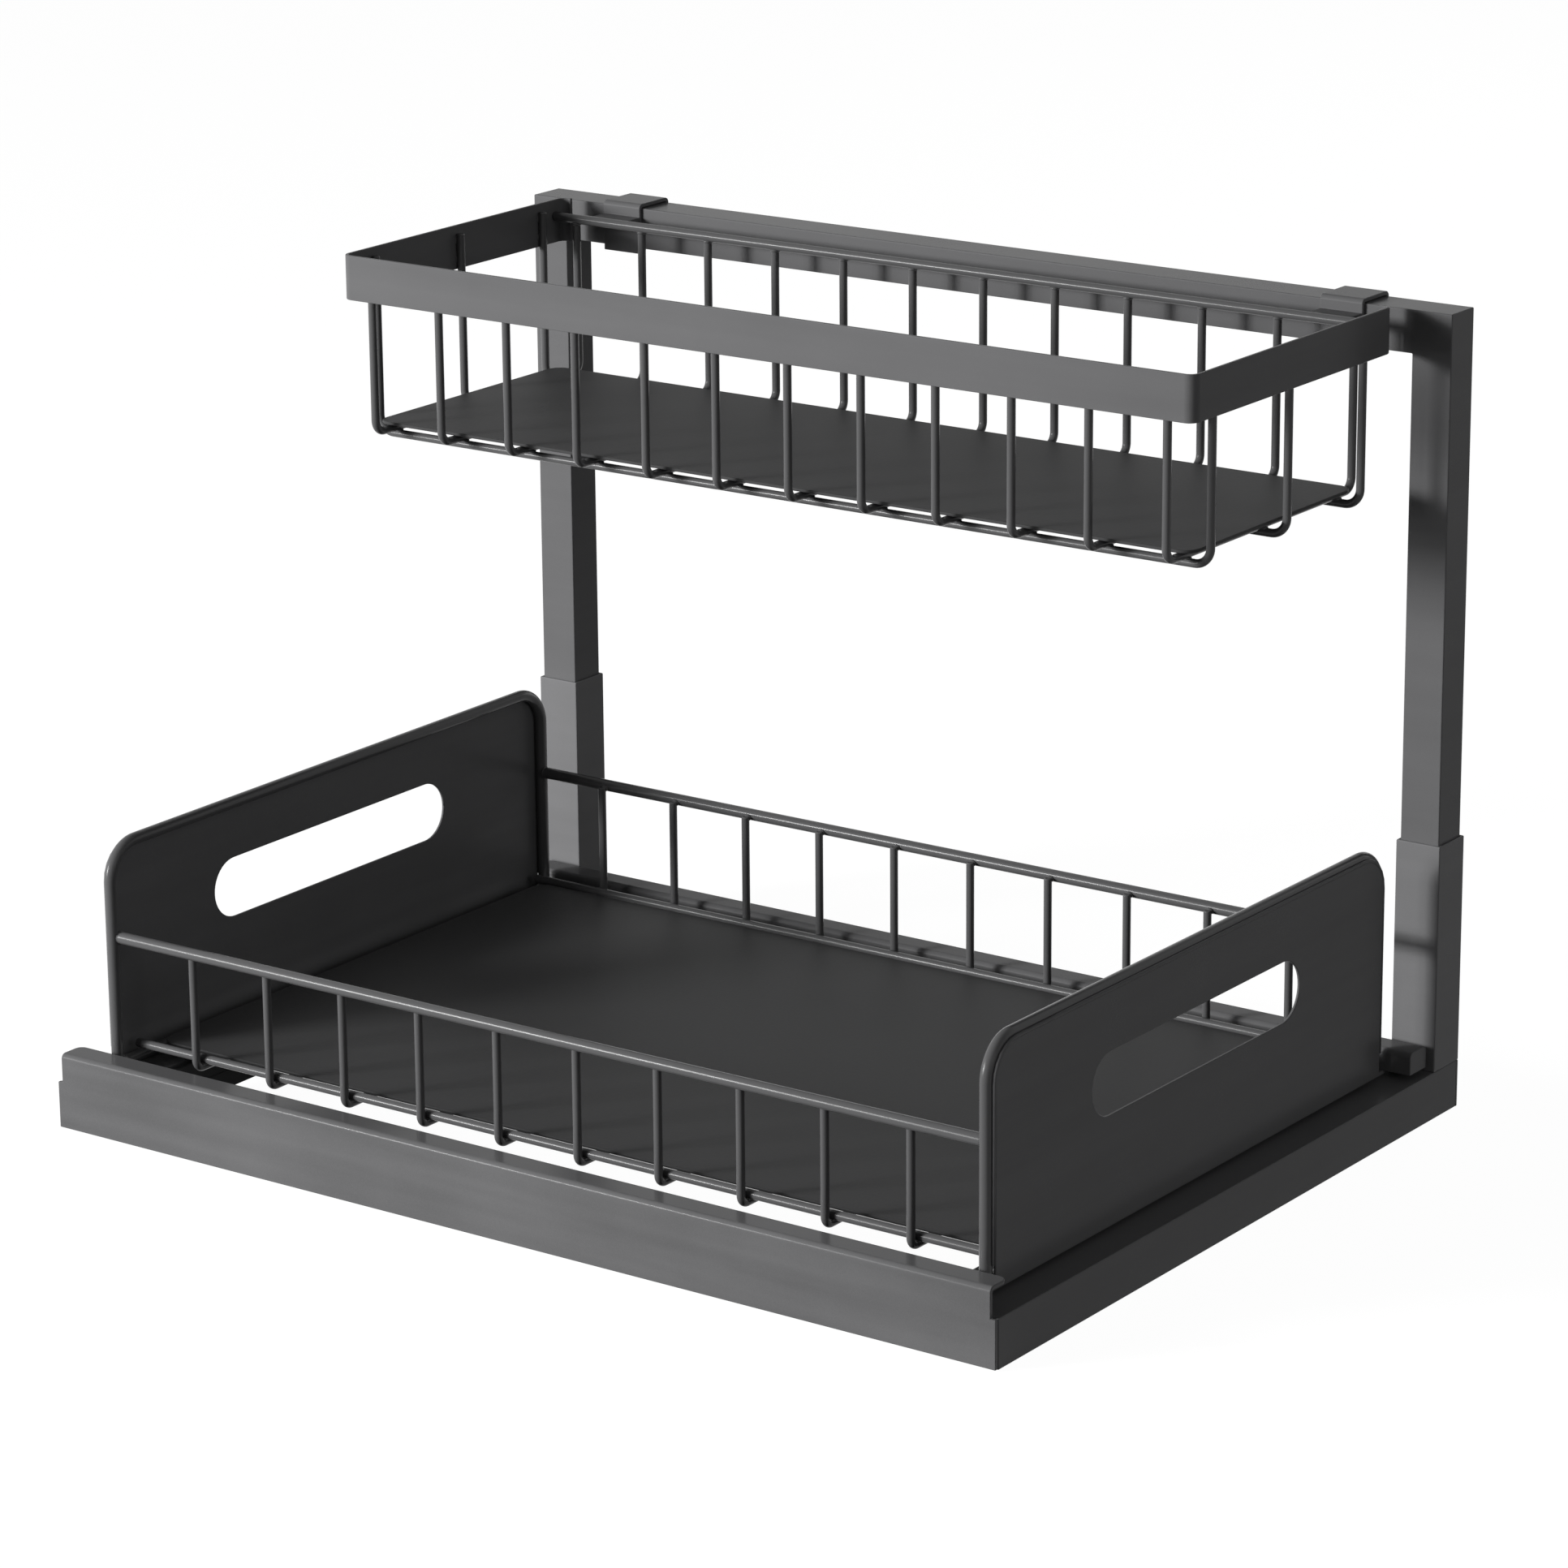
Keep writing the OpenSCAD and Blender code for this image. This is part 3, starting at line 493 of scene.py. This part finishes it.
soft_box("key_box", -36, 13, width=0.45, height=0.45, watts=43)
soft_box("broad_box", -37, 12, width=1.4, height=0.9, watts=36)
soft_box("side_fill", 80, 12, width=1.2, height=1.0, watts=5)
soft_box("back_fill", 170, 12, width=1.6, height=1.0, watts=7)


def seen_or_mirrored(tree):
    """1 for rays from the camera and from reflections, 0 for the others."""
    rays = tree.nodes.new("ShaderNodeLightPath")
    either = tree.nodes.new("ShaderNodeMath")
    either.operation = "MAXIMUM"
    tree.links.new(rays.outputs["Is Camera Ray"], either.inputs[0])
    tree.links.new(rays.outputs["Is Glossy Ray"], either.inputs[1])
    return either.outputs[0]


def mixed(tree, amount, first, second):
    """The first shader where the amount is 0 and the second where it is 1."""
    mix = tree.nodes.new("ShaderNodeMixShader")
    tree.links.new(amount, mix.inputs["Fac"])
    tree.links.new(first.outputs[0], mix.inputs[1])
    tree.links.new(second.outputs[0], mix.inputs[2])
    return mix


FLOOR_SIZE = 12.0
FLOOR_CLEARANCE = 0.1 * MM
FLOOR_GREY = (0.20, 0.20, 0.20, 1)
FLOOR_GLOW = 2.42
SHADOW_DEPTH = 0.60
WHITE = (1, 1, 1, 1)
shape = bmesh.new()
bmesh.ops.create_grid(shape, x_segments=1, y_segments=1, size=FLOOR_SIZE / 2,
                      matrix=Matrix.Translation((0, 0, -FLOOR_CLEARANCE)))
studio_floor = new_piece("studio_floor", shape)
paper = bpy.data.materials.new("white_paper")
paper.use_nodes = True
paper_tree = paper.node_tree
paper_nodes = paper_tree.nodes
paper_nodes.clear()
whiteness = paper_nodes.new("ShaderNodeMath")
whiteness.operation = "MULTIPLY"
whiteness.inputs[1].default_value = 1 - SHADOW_DEPTH
paper_tree.links.new(seen_or_mirrored(paper_tree), whiteness.inputs[0])
matt = paper_nodes.new("ShaderNodeBsdfDiffuse")
matt.inputs["Color"].default_value = FLOOR_GREY
glow = paper_nodes.new("ShaderNodeEmission")
glow.inputs["Color"].default_value = WHITE
glow.inputs["Strength"].default_value = FLOOR_GLOW
from_above = mixed(paper_tree, whiteness.outputs[0], matt, glow)
side_seen = paper_nodes.new("ShaderNodeNewGeometry")
clear = paper_nodes.new("ShaderNodeBsdfTransparent")
one_sided = mixed(paper_tree, side_seen.outputs["Backfacing"], from_above, clear)
paper_out = paper_nodes.new("ShaderNodeOutputMaterial")
paper_tree.links.new(one_sided.outputs[0], paper_out.inputs["Surface"])
studio_floor.data.materials.append(paper)
studio_floor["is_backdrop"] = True

AMBIENT = 0.06
world = bpy.data.worlds.new("studio")
bpy.context.scene.world = world
world.use_nodes = True
world_tree = world.node_tree
world_tree.nodes.clear()
level = world_tree.nodes.new("ShaderNodeMapRange")
level.inputs["To Min"].default_value = AMBIENT
level.inputs["To Max"].default_value = 1.0
world_tree.links.new(seen_or_mirrored(world_tree), level.inputs["Value"])
background = world_tree.nodes.new("ShaderNodeBackground")
background.inputs["Color"].default_value = WHITE
world_tree.links.new(level.outputs["Result"], background.inputs["Strength"])
world_out = world_tree.nodes.new("ShaderNodeOutputWorld")
world_tree.links.new(background.outputs[0], world_out.inputs["Surface"])

SENSOR = 36.0
LENS = 131.6
CAMERA_PLACE = (1.13273, -1.56300, 0.70522)
CAMERA_AZIMUTH = 35.65
CAMERA_ELEVATION = 16.75
CAMERA_ROLL = -0.49
lens = bpy.data.cameras.new("camera")
lens.sensor_width = SENSOR
lens.lens = LENS
camera = bpy.data.objects.new("camera", lens)
bpy.context.scene.collection.objects.link(camera)
camera.matrix_world = (Matrix.Translation(CAMERA_PLACE)
                       @ Matrix.Rotation(math.radians(CAMERA_AZIMUTH), 4, "Z")
                       @ Matrix.Rotation(math.radians(90 - CAMERA_ELEVATION), 4, "X")
                       @ Matrix.Rotation(math.radians(CAMERA_ROLL), 4, "Z"))
bpy.context.scene.camera = camera
bpy.context.scene.view_settings.view_transform = "Standard"

low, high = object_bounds()
